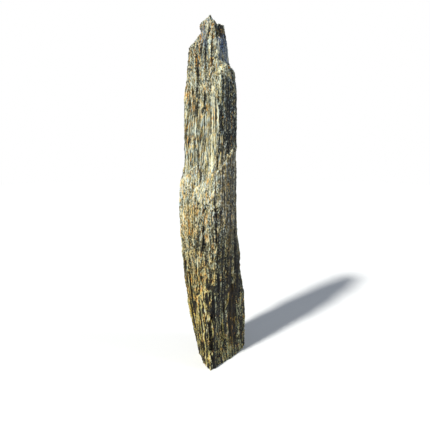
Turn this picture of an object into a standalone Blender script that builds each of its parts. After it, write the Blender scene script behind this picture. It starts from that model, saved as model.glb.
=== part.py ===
"""A gneiss fountain stone: one split column of foliated rock on a sawn foot.

The rock is a stack of thin upright sheets. Its right front and left rear sides are cleavage faces, which run
along the sheets and are fairly even. The left front and right rear sides are broken across the sheets, whose
ends stand out there as long ribs that snap off at ledges.
Lengths are millimetres until MILLIMETRE turns them to metres. +X is to the right of someone who faces the
front corner, +Y runs away from them and +Z is up. The origin is under the middle of the stone, on its foot.
"""

import functools
import math

import bmesh
import bpy
from mathutils import Vector, noise

MILLIMETRE = 0.001
STONE_NAME = "gneiss_column"

# Driving dimensions. Each outline runs from below the foot to the crown as (height, position).
RIM_HEIGHT = 810.0
SAW_WASTE = 12.0
LEFT_SIDE = (
    (-12, -44), (55, -55), (93, -61), (142, -71), (206, -78), (239, -80), (262, -80), (290, -82),
    (335, -87), (406, -88), (446, -87), (472, -84), (482, -81), (500, -78), (515, -74), (600, -71),
    (665, -70), (700, -67), (736, -64), (746, -62), (768, -58), (773, -53), (775, -46), (781, -45),
    (787, -39), (792, -33), (797, -30), (803, -31), (808, -34), (840, -34),
)
RIGHT_SIDE = (
    (-12, 84), (97, 82), (142, 77), (197, 72), (242, 66), (286, 63), (330, 57), (434, 54), (500, 52),
    (544, 50), (552, 53), (610, 53), (667, 50), (700, 47), (716, 46), (723, 43), (729, 37), (736, 34),
    (746, 33), (766, 32), (785, 26), (800, 23), (840, 20),
)
FRONT_CORNER = (
    (-12, -9), (82, -16), (163, -12), (240, -5), (338, 2), (432, 0), (510, 2), (585, 9), (647, 12),
    (690, 14), (730, 8), (785, 6), (800, 2), (840, 0),
)
REAR_CORNER = ((-12, 30), (150, 14), (340, -16), (560, -18), (700, -14), (840, -8))
FRONT_DEPTH = (
    (-12, -60), (160, -58), (420, -57), (600, -54), (690, -51), (735, -39), (760, -36), (800, -27),
    (840, -22),
)
REAR_DEPTH = (
    (-12, 88), (150, 76), (340, 64), (560, 58), (640, 52), (655, 44), (740, 36), (800, 24), (840, 18),
)
LEFT_DEPTH = ((-12, 14), (160, 8), (400, 2), (640, 0), (840, 0))
RIGHT_DEPTH = ((-12, 43), (160, 30), (400, 14), (640, 10), (760, 8), (840, 4))
# How far the right front side bows out next to the front corner, which rounds the corner off halfway up.
SHOULDER = ((-12, 0), (200, 3), (320, 10), (380, 17), (540, 17), (590, 7), (660, 0), (840, 0))
SHOULDER_DIRECTION = Vector((0.8, -0.6))

# The sides between the front, right, rear and left corners, each as a share of the way along it and how far
# the side bows there, and the share of the way round the stone at which each of these eight points stands.
BOWS = (
    (0.40, Vector((2, -2))),
    (0.22, Vector((2, 8))),
    (0.45, Vector((-5, 5))),
    (0.50, Vector((-3, -4))),
)
TURNS = (0.0, 0.075, 0.18, 0.26, 0.44, 0.56, 0.68, 0.84, 1.0)
RIGHT_TURN = TURNS[2]
LEFT_TURN = TURNS[6]
GIRTH = 430.0
CORNER_ROUNDNESS = 0.5
CORNER_REACH = 0.05
LEDGE_WANDER = 26.0

# The broken crown as seen from the front, as (position, height). CREST_DEPTH is where its crest stands, and
# the falls are how steeply it drops behind the crest and before it.
CREST = (
    (-36, 810), (-33, 813), (-30, 818), (-20, 824), (-15, 827), (-11, 832), (-8, 827), (-3, 821), (1, 816),
    (5, 811), (8, 815), (11, 815), (17, 816), (22, 818),
)
CREST_DEPTH = -2.0
FALL_BEHIND = 1.2
FALL_BEFORE = 0.3
CROWN_SPLINTER = {"thickness": 7.0, "length": 60.0, "depth": 9.0}

# Sheets, in packets, as (thickness, usual length of a rib before it breaks off, how far ribs stand out).
SHEET_NORMAL = Vector((0.74, -0.67)).normalized()
RIB_SIZES = ((22.0, 260.0, 6.0), (11.0, 140.0, 5.0), (5.5, 80.0, 3.4))
TERRACE_SIZES = ((34.0, 260.0, 7.0), (13.0, 200.0, 5.0), (6.0, 160.0, 2.6))
RIB_SEED = 3.0
TERRACE_SEED = 40.0
CROWN_SEED = 71.0
BREAK_SLOPE = 1.3
SWELL_DEPTH = 3.0
SWELL_WIDTH = 70.0

# Places where a sheet has flaked off one side of a sloping line: the ends of the line as (position, height),
# the depth lost, and the height over which the loss fades out. It is negative for a loss below the line.
FRONT_FLAKES = (
    ((2, 706), (30, 728), 5.0, 60.0),
    ((12, 500), (46, 548), 6.0, 120.0),
    ((-38, 194), (-4, 230), 8.0, 70.0),
    ((-32, 398), (-4, 440), 4.0, -45.0),
    ((-88, 472), (-48, 508), 6.0, 80.0),
    ((-56, 440), (-34, 470), 4.0, 50.0),
    ((-34, 455), (-8, 500), 4.0, 60.0),
    ((10, 90), (24, 110), 6.0, -90.0),
    ((24, 128), (34, 166), 5.0, 60.0),
    ((-60, 640), (-30, 662), 3.0, 70.0),
    ((-24, 560), (0, 590), 3.0, 80.0),
)
REAR_FLAKES = (
    ((-62, 300), (4, 352), 6.0, 110.0),
    ((-8, 560), (44, 618), 7.0, 130.0),
    ((20, 150), (76, 190), 6.0, 90.0),
    ((-66, 690), (-24, 716), 6.0, 80.0),
)
# Furrows between sheets, as (position, lowest height, highest height, depth, half width).
FURROWS = (
    (-28, 280, 378, 7.0, 5.0),
    (-8, 26, 165, 9.0, 10.0),
    (-34, 222, 246, 9.0, 5.0),
    (-52, 540, 700, 4.0, 5.0),
    (-24, 590, 710, 4.0, 4.0),
    (14, 787, 830, 8.0, 7.0),
    (-8, 780, 845, 4.0, 4.0),
    (18, 732, 784, 3.0, 10.0),
    (-44, 50, 150, 5.0, 6.0),
    (38, 230, 420, 4.0, 7.0),
    (22, 20, 120, 4.0, 6.0),
    (52, 30, 190, 4.0, 6.0),
)
FURROW_WANDER = 6.0
# Chips along the front corner: the most that is lost, the usual length and how far round they reach.
CHIP_DEPTH = 8.0
CHIP_LENGTH = 45.0
CHIP_REACH = 0.03

# The surface is modelled on a fine grid and then thinned to flat facets, most of them along the ledges.
COLUMNS = 208
RINGS = 310
CROWN_RINGS = 20
FACETS = 9400
SAW_SIZE = (0.4, 0.4, 0.1)


def along(outline, place):
    """The value of a piecewise straight outline at a place."""
    for (low, first), (high, last) in zip(outline, outline[1:]):
        if place <= high:
            share = max(0.0, (place - low) / (high - low))
            return first + (last - first) * share
    return outline[-1][1]


def smooth_step(low, high, value):
    """A soft step from 0 at low to 1 at high."""
    share = min(1.0, max(0.0, (value - low) / (high - low)))
    return share * share * (3 - 2 * share)


def chance(first, second, seed):
    """A number from 0 to 1 that is always the same for the same two whole numbers and seed."""
    return 0.5 + 0.5 * noise.cell(Vector((first, second, seed)))


def waver(x, y, z):
    """Smooth noise, mostly between -0.5 and 0.5, that changes over a distance of about 1."""
    return noise.noise(Vector((x, y, z)))


@functools.lru_cache(maxsize=None)
def section_points(height):
    """The eight points that drive the stone's section at a height, in order from the front corner."""
    corners = [
        Vector((along(FRONT_CORNER, height), along(FRONT_DEPTH, height))),
        Vector((along(RIGHT_SIDE, height), along(RIGHT_DEPTH, height))),
        Vector((along(REAR_CORNER, height), along(REAR_DEPTH, height))),
        Vector((along(LEFT_SIDE, height), along(LEFT_DEPTH, height))),
    ]
    points = []
    for corner, following, (share, bow) in zip(corners, corners[1:] + corners[:1], BOWS):
        points += [corner, corner.lerp(following, share) + bow]
    points[1] += SHOULDER_DIRECTION * along(SHOULDER, height)
    return points


def round_section(points, turn):
    """A point of the smooth section: partly on its straight sides, partly on a curve through its corners."""
    side = max(i for i, start in enumerate(TURNS[:-1]) if start <= turn)
    share = (turn - TURNS[side]) / (TURNS[side + 1] - TURNS[side])
    before, first, last, after = (points[(side + step) % len(points)] for step in (-1, 0, 1, 2))
    curved = (
        first * 2
        + (last - before) * share
        + (before * 2 - first * 5 + last * 4 - after) * share**2
        + (first * 3 - before - last * 3 + after) * share**3
    ) / 2
    return first.lerp(last, share).lerp(curved, CORNER_ROUNDNESS)


def away_from_corners(turn):
    """0 at the left and right corners, whose outline is kept, and 1 away from both."""
    return smooth_step(0, CORNER_REACH, min(abs(turn - LEFT_TURN), abs(turn - RIGHT_TURN)))


def smooth_point(turn, height):
    """A point of the smooth section, whose ledges wander up and down between the left and right corners."""
    turn %= 1.0
    wander = LEDGE_WANDER * away_from_corners(turn) * waver(turn * 14, height / 300, 12)
    return round_section(section_points(round(height + wander)), turn)


def ribs(around, height, thickness, length, seed):
    """How far the sheets' ends stand out, from -1 to 1. Each rib snaps off at ledges up its length."""
    around += 7 * waver(around / 50, height / 160, seed)
    line = height - BREAK_SLOPE * around + 5 * waver(around / 6, height / 12, seed)
    sheet = math.floor(around / thickness)
    levels = []
    for number in (sheet, sheet + 1):
        place = line / length + 0.6 * chance(number, 0, seed)
        step = math.floor(place)
        ledge = 0.04 + 0.6 * chance(number, step, seed + 9) ** 1.5
        lower, upper = chance(number, step - 1, seed + 5), chance(number, step, seed + 5)
        levels.append(lower + (upper - lower) * smooth_step(0, ledge, place - step))
    between = smooth_step(0.2, 0.8, around / thickness - sheet)
    return 2 * (levels[0] + (levels[1] - levels[0]) * between) - 1


def relief(sizes, around, height, seed):
    """How far the ribs of several sizes stand out together."""
    return sum(
        depth / 2 * ribs(around, height, thickness, length, seed + thickness)
        for thickness, length, depth in sizes
    )


def flake_loss(flakes, point, height):
    """The depth lost on the front or rear faces at their sloping break lines."""
    lost = 0.0
    for (x0, z0), (x1, z1), depth, fade in flakes:
        share = (point.x - x0) / (x1 - x0)
        line = z0 + (z1 - z0) * share
        line = line + 14 * waver(point.x / 11, z0 / 7, 2) + 7 * waver(point.x / 4, z0 / 7, 3)
        away = (height - line) * math.copysign(1, fade)
        inside = smooth_step(-0.3, 0.0, share) * smooth_step(1.3, 1.0, share)
        lost += depth * inside * smooth_step(-2, 3, away) * smooth_step(abs(fade), 0.3 * abs(fade), away)
    return lost


def furrow_loss(point, height):
    """The depth lost in the furrows of the front faces, which vary in width and depth and run out."""
    lost = 0.0
    for position, low, high, depth, half_width in FURROWS:
        middle = position + FURROW_WANDER * waver(position, height / 45, 5)
        vary = max(0.0, 0.75 + 0.9 * waver(height / 22, position, 6))
        across = abs(point.x - middle) / (half_width * max(0.25, vary))
        ends = smooth_step(low - 8, low + 25, height) * smooth_step(high + 8, high - 25, height)
        lost += depth * vary * ends * smooth_step(1, 0.1, across)
    return lost


def chip_loss(turn, height):
    """The depth lost where the front corner is chipped."""
    near = smooth_step(CHIP_REACH, 0, min(turn, 1 - turn))
    size = waver(4, 4, height / CHIP_LENGTH) + waver(9, 4, height / 19) / 3
    return CHIP_DEPTH * near * smooth_step(-0.1, 0.45, size)


def rib_share(turn, height):
    """How strongly the ribs show: less at the sawn foot, on the crown and at the left and right corners."""
    ends = smooth_step(-SAW_WASTE, 50, height) * smooth_step(850, 740, height)
    return (0.35 + 0.65 * ends) * (0.4 + 0.6 * away_from_corners(turn))


def surface_offset(point, direction, turn, height):
    """How far the rough surface stands out from the smooth section."""
    around = GIRTH * turn
    cleavage = smooth_step(0.6, 0.88, abs(direction.dot(SHEET_NORMAL)))
    broken = relief(RIB_SIZES, around, height, RIB_SEED) if cleavage < 1 else 0
    split = relief(TERRACE_SIZES, around, height, TERRACE_SEED) if cleavage > 0 else 0
    swell = SWELL_DEPTH * waver(point.x / SWELL_WIDTH, point.y / SWELL_WIDTH, height / 110)
    front = smooth_step(0.15, -0.1, direction.y)
    lost = 0.0
    if front > 0:
        front_loss = flake_loss(FRONT_FLAKES, point, height) + furrow_loss(point, height)
        lost += front * (front_loss + chip_loss(turn, height))
    if front < 1:
        lost += (1 - front) * flake_loss(REAR_FLAKES, point, height)
    return swell - lost + rib_share(turn, height) * (broken + (split - broken) * cleavage)


def wall_point(turn, height):
    """A point of the rough wall."""
    point = smooth_point(turn, height)
    run = (smooth_point(turn + 0.009, height) - smooth_point(turn - 0.009, height)).normalized()
    direction = Vector((run.y, -run.x))
    rough = point + direction * surface_offset(point, direction, turn, height)
    return Vector((*rough, height))


def crown_height(point):
    """The height of the broken crown over a point of the plan."""
    behind = point.y - CREST_DEPTH - 3 * waver(point.x / 9, 0, 8)
    fall = FALL_BEHIND * behind if behind > 0 else -FALL_BEFORE * behind
    thickness, length = CROWN_SPLINTER["thickness"], CROWN_SPLINTER["length"]
    stand = ribs(point.xy.dot(SHEET_NORMAL), point.y * 3, thickness, length, CROWN_SEED)
    splinter = CROWN_SPLINTER["depth"] / 2 * stand * smooth_step(0, 8, abs(behind))
    return along(CREST, point.x) - fall + splinter


def stone_places():
    """Where every point belongs, as places[ring][column]: up the wall, then inwards over the crown."""
    turns = [column / COLUMNS for column in range(COLUMNS)]
    rises = [crown_height(wall_point(turn, RIM_HEIGHT)) + SAW_WASTE for turn in turns]
    places = []
    for ring in range(RINGS + 1):
        heights = [rise * ring / RINGS - SAW_WASTE for rise in rises]
        places.append([wall_point(turn, height) for turn, height in zip(turns, heights)])
    rim = places[-1]
    middle = sum((place.xy for place in rim), Vector((0, 0))) / COLUMNS
    for ring in range(1, CROWN_RINGS + 1):
        level = [place.xy.lerp(middle, ring / CROWN_RINGS) for place in rim]
        places.append([Vector((*point, crown_height(point))) for point in level])
    return places


def cylinder(rings):
    """A closed cylinder of unit radius and height, with a number of rings of points up its wall."""
    mesh = bmesh.new()
    bmesh.ops.create_cone(mesh, cap_ends=True, segments=COLUMNS, radius1=1, radius2=1, depth=1)
    bmesh.ops.translate(mesh, verts=mesh.verts, vec=(0, 0, 0.5))
    upright = [edge for edge in mesh.edges if abs(edge.verts[0].co.z - edge.verts[1].co.z) > 0.5]
    bmesh.ops.subdivide_edges(mesh, edges=upright, cuts=rings - 2, use_grid_fill=True)
    return mesh


def rough_stone():
    """The unsawn stone on its fine grid: a cylinder whose points are moved to the stone's surface."""
    places = stone_places()
    rings = len(places) - 1
    mesh = cylinder(rings)
    for vertex in mesh.verts:
        column = round(math.atan2(vertex.co.y, vertex.co.x) / math.tau * COLUMNS) % COLUMNS
        vertex.co = places[round(vertex.co.z * (rings - 1))][column]
    caps = [face for face in mesh.faces if len(face.verts) > 4]
    middles = bmesh.ops.poke(mesh, faces=caps)["verts"]
    max(middles, key=lambda vertex: vertex.co.z).co = places[-1][0]
    bmesh.ops.triangulate(mesh, faces=mesh.faces)
    bmesh.ops.recalc_face_normals(mesh, faces=mesh.faces)
    return mesh


def centre_on_foot(mesh):
    """Moves the stone so that the middle of its outline, seen from above, is over the origin."""
    for axis in (0, 1):
        places = [vertex.co[axis] for vertex in mesh.verts if vertex.co.z > 0]
        step = Vector((0, 0, 0))
        step[axis] = -(min(places) + max(places)) / 2
        bmesh.ops.translate(mesh, verts=mesh.verts, vec=step)


def banded_gneiss():
    """Weathered gneiss: pale and dark bands that are too fine for one colour show as a greenish grey."""
    material = bpy.data.materials.new("banded_gneiss")
    material.use_nodes = True
    shader = material.node_tree.nodes["Principled BSDF"]
    shader.inputs["Base Color"].default_value = (0.205, 0.185, 0.135, 1)
    shader.inputs["Roughness"].default_value = 0.8
    shader.inputs["Metallic"].default_value = 0.0
    return material


def new_object(name, mesh, collection):
    """Makes an object of a finished bmesh."""
    data = bpy.data.meshes.new(name)
    mesh.to_mesh(data)
    mesh.free()
    made = bpy.data.objects.new(name, data)
    collection.objects.link(made)
    return made


def foot_saw(collection):
    """The cutter that takes off everything below the foot."""
    mesh = bmesh.new()
    bmesh.ops.create_cube(mesh, size=1)
    bmesh.ops.translate(mesh, verts=mesh.verts, vec=(0, 0, -0.5))
    bmesh.ops.scale(mesh, verts=mesh.verts, vec=SAW_SIZE)
    saw = new_object("foot_saw", mesh, collection)
    saw.hide_render = True
    saw.display_type = "WIRE"
    return saw


def build_stone(collection, cutters):
    mesh = rough_stone()
    centre_on_foot(mesh)
    bmesh.ops.scale(mesh, verts=mesh.verts, vec=(MILLIMETRE,) * 3)
    triangles = len(mesh.faces)
    stone = new_object(STONE_NAME, mesh, collection)
    stone.data.materials.append(banded_gneiss())
    thin = stone.modifiers.new("flat_facets", "DECIMATE")
    thin.ratio = FACETS / triangles
    cut = stone.modifiers.new("sawn_foot", "BOOLEAN")
    cut.object = foot_saw(cutters)
    cut.operation = "DIFFERENCE"
    cut.solver = "EXACT"


def main():
    for old in list(bpy.data.objects):
        bpy.data.objects.remove(old)
    collection = bpy.data.collections.new("gneiss_fountain_stone")
    cutters = bpy.data.collections.new("cutters")
    bpy.context.scene.collection.children.link(collection)
    bpy.context.scene.collection.children.link(cutters)
    build_stone(collection, cutters)


main()
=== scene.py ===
"""The finished look of a gneiss fountain stone: fine relief and mineral colours round its column.

The column is one piece of banded gneiss with its sheets standing upright. Its left front and right
rear sides are broken across the sheets, whose ends stand out as splinters. Its right front and left
rear sides are cleavage faces, dark with mica and drawn out in long flutes. Some of the colours are
painted light and shade: lighter and darker patches, darkened hollows, a band painted lighter where
the stone turns up to the light, and a painted reflection of the sky on bare mica faces.
The tables are in millimetres, in the part's frame, and MM turns them to metres.
"""

import functools
import math

import bmesh
import bpy
import numpy as np
from mathutils import Color, Matrix, Vector, noise


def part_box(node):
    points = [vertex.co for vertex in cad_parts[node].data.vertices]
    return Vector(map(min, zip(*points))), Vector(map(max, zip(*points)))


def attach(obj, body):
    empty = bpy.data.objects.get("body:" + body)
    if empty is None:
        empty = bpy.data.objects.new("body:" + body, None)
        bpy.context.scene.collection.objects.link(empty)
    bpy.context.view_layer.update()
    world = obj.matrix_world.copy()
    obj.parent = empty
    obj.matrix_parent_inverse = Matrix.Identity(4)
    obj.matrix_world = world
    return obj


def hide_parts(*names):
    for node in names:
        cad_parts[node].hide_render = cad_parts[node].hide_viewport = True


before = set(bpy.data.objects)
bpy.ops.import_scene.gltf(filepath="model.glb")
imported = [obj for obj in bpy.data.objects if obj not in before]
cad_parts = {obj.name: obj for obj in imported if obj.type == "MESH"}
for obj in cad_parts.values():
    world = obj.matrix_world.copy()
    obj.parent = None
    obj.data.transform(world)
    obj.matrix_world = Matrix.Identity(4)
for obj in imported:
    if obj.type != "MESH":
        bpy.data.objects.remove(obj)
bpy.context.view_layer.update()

bl_info = {
    "name": "Gneiss Fountain Stone",
    "version": (1, 0, 0),
    "blender": (4, 5, 0),
    "location": "View3D > Sidebar > Stone",
    "description": "Dresses a packed gneiss column with splintered relief and banded minerals",
    "category": "Object",
}

MM = 0.001
TINY = 1e-6
NODE = "gneiss_column"
BODY = "root"
STONE_LOW, STONE_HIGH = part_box(NODE)
STONE_HEIGHT = STONE_HIGH.z - STONE_LOW.z

# The sheets stand on edge. SHEET_NORMAL points across them, and SHEET_RUN along them, to the right
# and back.
SHEET_NORMAL = Vector((0.74, -0.67, 0.0)).normalized()
SHEET_RUN = Vector((0.67, 0.74, 0.0)).normalized()
SHEET_TURN = Matrix.Rotation(-math.atan2(SHEET_NORMAL.y, SHEET_NORMAL.x), 4, "Z")
# A side is a cleavage face where this much of its normal lies across the sheets, from partly to wholly.
CLEAVED_FACING = (0.62, 0.86)

# The grain follows the stone's taper up to where the crown starts, and runs straight above. The taper
# is read at every GRAIN_STEP and evened out over GRAIN_EVENING steps to either side.
GRAIN_STEP = 10.0
GRAIN_EVENING = 9
CROWN_START = 690.0
# The sheets sway, as (how far, over what width and height), and finely, over two widths and a height.
SWAY_ACROSS = (4.0, 60.0, 150.0)
SWAY_ALONG = (3.0, 50.0, 150.0)
FINE_SWAY = (0.9, 12.0, 14.0, 60.0)
SWAY_SEED = 7

# Splinters on the broken sides, as (thickness, usual length, how far they stand out, how deep the gap
# beside them is).
SPLINTERS = (
    (8.5, 60.0, 0.9, 0.5),
    (4.4, 22.0, 1.3, 0.9),
    (2.8, 6.0, 1.3, 0.8),
)
# Flutes on the cleavage sides, in the same order.
FLUTES = (
    (13.0, 220.0, 2.4, 1.6),
    (6.0, 90.0, 2.0, 1.6),
    (3.0, 12.0, 1.2, 0.7),
)
SPLINTER_SEED = 11.0
FLUTE_SEED = 57.0
# Both are rods side by side. A rod's edge wanders, as (share of its thickness, over how many
# thicknesses and lengths), and its groove lies between these shares of the way to the next rod.
ROD_WANDER = (0.35, 2, 3)
ROD_GROOVE = (0.36, 0.64)
# A rod breaks off along this slope, jagged by (how far, over what width and height). Its end is
# shifted against its neighbour's by up to a share of its length, and falls over a share of it: the
# least, and the most that chance adds.
BREAK_SLOPE = 1.25
BREAK_JAG = (4.0, 4.0, 9.0)
BREAK_SHIFT = 0.8
BREAK_FALL = (0.05, 0.5)
# The gap beside a rod is open where chance says so, from partly to wholly. It starts at the first of
# these shares of the thickness from the middle of the groove, and has its full depth at the second.
# It breaks off this much oftener than the rod.
GAP_CHANCE = (0.35, 0.9)
GAP_EDGES = (0.3, 0.05)
GAP_BREAKS = 1.7
LEVEL_SEED = 5
FALL_SEED = 9
GAP_SEED = 21

# Crumbs all over, as (size, how far they stand out), with their strength on upright sides, and what
# ledges and the hackly crown add to it.
CRUMB_SIZES = ((7.0, 1.0), (3.4, 1.0), (2.2, 1.2))
CRUMBS_UPRIGHT = 0.6
CRUMBS_ON_LEDGES = 0.7
CRUMBS_IN_CROWN = 0.4
# A surface is a ledge where this much of its normal points up or down, from partly to wholly. The
# rods lose this share of their relief there, and the minerals lie as they do on a rod that stands out
# this far.
LEDGE_FACING = (0.35, 0.75)
LEDGE_LOSS = 0.7
LEDGE_STAND = 0.8
# From the first of these heights to the second the rods lose this share of their relief to crumbs,
# because the crown is broken in short pieces.
HACKLY_START = 670.0
HACKLY_FULL = 730.0
HACKLY_LOSS = 0.75
# From the first of these heights down to the second the relief gets deeper, up to this many times.
RUGGED_START = 380.0
RUGGED_FULL = 220.0
RUGGED_TIMES = 1.3

# The foot is the level face within FOOT_REACH of the floor. It runs on below the saw cut by
# FOOT_OVERLAP while the surface is worked. Points within WELD_REACH are one, and those within
# SAW_REACH of the cut lie in it.
FOOT_REACH = 0.1
FOOT_FACING = -0.99
FOOT_OVERLAP = 6.0
WELD_REACH = 0.01
SAW_REACH = 0.001
# The surface is sculpted on cells this wide and this many times as tall, softened by this share of a
# step, and then thinned to this many triangles.
CELL = 1.15
CELL_STRETCH = 2.2
SOFTENING = 0.5
TRIANGLES = 195000

# Marks on the front, each a stroke as (X and height of one end, of the other end, half width,
# strength). Veins of feldspar and quartz, which stand out a little.
VEINS = (
    ((-10, 821), (-14, 802), 2.0, 0.8),
    ((9, 778), (8, 738), 2.0, 1.0),
    ((6, 733), (31, 725), 5.0, 0.4),
    ((13, 700), (15, 669), 6.0, 0.3),
    ((-26, 679), (-22, 670), 6.0, 0.45),
    ((-63, 660), (-64, 585), 1.8, 0.9),
    ((-1, 676), (-2, 634), 2.8, 1.4),
    ((-3, 634), (-4, 575), 2.0, 1.2),
    ((-4, 575), (-6, 500), 1.8, 1.1),
    ((10, 642), (10, 596), 1.5, 0.8),
    ((10, 596), (8, 543), 1.8, 0.7),
    ((2, 579), (2, 554), 4.0, 0.4),
    ((-42, 614), (-43, 585), 3.4, 0.35),
    ((-24, 640), (-25, 612), 3.0, 0.6),
    ((-28, 565), (-29, 510), 1.5, 0.8),
    ((-18, 612), (-18, 574), 1.4, 0.7),
    ((28, 563), (24, 543), 1.6, 0.8),
    ((42, 541), (40, 535), 1.3, 0.6),
    ((35, 529), (31, 522), 1.6, 0.6),
    ((26, 518), (23, 514), 1.3, 0.6),
    ((-43, 460), (-35, 431), 3.0, 0.6),
    ((-12, 422), (-3, 448), 3.0, 0.6),
    ((-70, 482), (-57, 460), 4.0, 0.3),
    ((23, 387), (23, 377), 1.8, 0.5),
    ((46, 394), (47, 385), 1.6, 0.5),
    ((-9, 365), (-11, 336), 1.8, 0.7),
    ((28, 365), (28, 309), 1.2, 0.6),
    ((-44, 234), (-45, 211), 2.0, 1.0),
    ((6, 294), (6, 208), 1.5, 0.9),
    ((-18, 206), (-17, 148), 1.6, 0.7),
    ((28, 240), (28, 202), 1.3, 0.9),
    ((49, 286), (50, 190), 1.3, 0.6),
    ((38, 275), (40, 180), 1.2, 0.5),
    ((28, 162), (33, 125), 2.6, 1.0),
    ((5, 172), (6, 102), 1.4, 0.8),
    ((67, 139), (66, 105), 1.8, 0.9),
    ((-17, 136), (-17, 85), 2.4, 1.3),
    ((-22, 161), (-21, 140), 1.6, 0.7),
    ((-27, 154), (-27, 43), 1.5, 0.7),
    ((-25, 44), (-24, 7), 2.4, 0.8),
    ((-8, 43), (-4, 9), 2.6, 0.8),
    ((35, 83), (35, 71), 1.4, 0.8),
    ((66, 66), (67, 13), 1.4, 0.5),
)
# Iron stains.
STAINS = (
    ((-4, 811), (-3, 779), 2.2, 1.2),
    ((-3, 773), (-4, 753), 1.4, 0.7),
    ((-6, 736), (-6, 721), 3.0, 1.1),
    ((-30, 812), (-30, 808), 2.4, 1.0),
    ((-30, 786), (-30, 762), 3.0, 1.2),
    ((-31, 760), (-31, 724), 2.0, 1.0),
    ((-41, 757), (-37, 724), 3.4, 1.0),
    ((16, 806), (17, 786), 4.0, 0.7),
    ((32, 728), (33, 721), 2.0, 0.8),
    ((39, 715), (42, 676), 1.8, 0.8),
    ((-58, 674), (-56, 644), 3.8, 1.0),
    ((-46, 663), (-47, 637), 2.8, 1.0),
    ((-55, 607), (-56, 571), 1.6, 0.7),
    ((-13, 642), (-13, 617), 1.6, 0.8),
    ((-4, 609), (-4, 597), 1.6, 0.9),
    ((-63, 573), (-64, 539), 2.4, 0.9),
    ((41, 632), (42, 593), 1.8, 0.9),
    ((30, 619), (30, 543), 1.3, 0.7),
    ((40, 588), (39, 543), 1.4, 0.7),
    ((-75, 454), (-75, 430), 3.4, 0.7),
    ((-23, 435), (-18, 445), 2.0, 0.9),
    ((-45, 414), (-42, 392), 5.0, 0.9),
    ((-59, 407), (-60, 340), 3.6, 0.8),
    ((-26, 411), (-25, 392), 1.8, 0.9),
    ((-80, 370), (-80, 337), 3.0, 0.9),
    ((28, 412), (28, 398), 1.8, 0.9),
    ((42, 392), (43, 378), 2.2, 0.9),
    ((-20, 388), (-20, 320), 1.6, 0.9),
    ((19, 454), (18, 427), 1.4, 0.7),
    ((-12, 255), (-25, 230), 3.4, 0.9),
    ((-25, 230), (-32, 204), 3.0, 0.9),
    ((-45, 208), (-45, 175), 2.0, 0.8),
    ((-26, 224), (-26, 206), 1.6, 0.8),
    ((35, 124), (36, 94), 1.8, 1.0),
    ((15, 123), (16, 39), 1.4, 0.8),
    ((-14, 80), (-14, 53), 1.4, 0.9),
    ((36, 132), (36, 65), 1.3, 0.7),
)
# Hollows between the sheets, which lie back in the relief and are also painted darker: painted shade.
SHADED_HOLLOWS = (
    ((-36, 782), (-36, 776), 2.2, 2.5),
    ((-20, 766), (-20, 744), 3.0, 0.6),
    ((-55, 637), (-56, 609), 1.6, 1.5),
    ((-36, 422), (-36, 410), 2.0, 2.5),
    ((-25, 378), (-25, 308), 1.6, 2.0),
    ((-2, 372), (-2, 324), 2.0, 2.0),
    ((16, 404), (17, 390), 2.6, 1.5),
    ((-39, 420), (-38, 408), 1.8, 1.8),
    ((-22, 420), (-18, 402), 5.0, 1.2),
    ((-15, 440), (-10, 428), 3.0, 1.2),
    ((2, 420), (5, 392), 4.0, 1.4),
    ((11, 410), (20, 378), 5.0, 1.2),
    ((-8, 374), (-6, 325), 3.5, 1.5),
    ((3, 372), (5, 338), 3.0, 1.0),
    ((-1, 205), (-5, 145), 3.5, 1.2),
    ((-30, 264), (-25, 261), 2.0, 3.0),
    ((-44, 265), (-44, 240), 1.4, 2.5),
    ((-5, 145), (-5, 49), 4.5, 1.6),
    ((-35, 146), (-35, 124), 1.8, 2.5),
    ((13, 811), (14, 785), 4.0, 1.4),
)
# Bare, even faces of mica, smoother in the relief, with a painted reflection of blue sky on them.
SLATES_WITH_SKY_SHEEN = (
    ((14, 776), (16, 741), 6.5, 1.0),
    ((24, 778), (28, 741), 6.5, 1.0),
    ((-25, 804), (-22, 770), 6.0, 0.5),
)
# Where the broken ends of the sheets reach across a cleavage face.
CRUMBLED = (
    ((13, 732), (13, 640), 3.5, 1.0),
    ((14, 728), (30, 706), 8.0, 1.0),
    ((-67, 270), (-60, 150), 5.0, 1.0),
    ((-60, 150), (-50, 90), 5.0, 1.0),
)
# Where a skin of mica covers a broken face.
SKINS = (
    ((20, 520), (22, 330), 6.0, 0.8),
)
MARKS = {
    "vein": VEINS,
    "stain": STAINS,
    "shaded_hollow": SHADED_HOLLOWS,
    "slate_sky_sheen": SLATES_WITH_SKY_SHEEN,
    "crumbled": CRUMBLED,
    "skin": SKINS,
}
# The marks fade out over this much of the normal, where a side turns from the front to the back.
MARK_REACH = 0.35
# A stroke ends at this many half widths from its middle, after it has faded over one.
STROKE_REACH = 1.6
# Its edges are ragged: by this much sideways, over a width and a height, and by this much upwards,
# over a size.
RAGGED_SIDEWAYS = (2.0, 5.0, 16.0)
RAGGED_UPWARDS = (7.0, 7.5)
# Hollows and veins are chipped, as (usual strength, how far it swings, over what width and height),
# and stay between these strengths.
CHIPPED = (0.75, 2.2, 2.6, 5.5)
HOLLOW_STRENGTHS = (0.0, 1.3)
VEIN_STRENGTHS = (0.35, 1.1)
# Veins stand out by this much and hollows lie back. Crumbled and slaty faces lose a share of their
# relief.
VEIN_HEIGHT = 0.8
HOLLOW_DEPTH = 1.0
CRUMBLED_LOSS = 0.5
SLATE_LOSS = 0.7

# Noise that the minerals follow, as (name, size across the sheets, along them and up, detail). Real
# flakes of mica and grains of feldspar are under a millimetre, and are drawn just coarse enough to
# show.
PATTERNS = (
    ("bands", 2.0, 5.0, 120.0, 2.0),
    ("threads", 1.7, 2.6, 4.5, 2.0),
    ("ribs", 3.8, 7.0, 60.0, 3.0),
    ("flutes", 16.0, 2.7, 110.0, 2.0),
    ("iron", 2.4, 6.0, 20.0, 2.0),
    ("tint", 2.2, 4.5, 14.0, 1.0),
)
PATTERN_ROUGHNESS = 0.6
# Angular grains, as (size across the sheets, along them and up), and how much one differs from the
# next.
GRAINS = (2.0, 2.7, 3.2)
GRAIN_RANGE = 0.48
# The share of the threads among the grains.
THREADS_SHARE = 0.55
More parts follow.
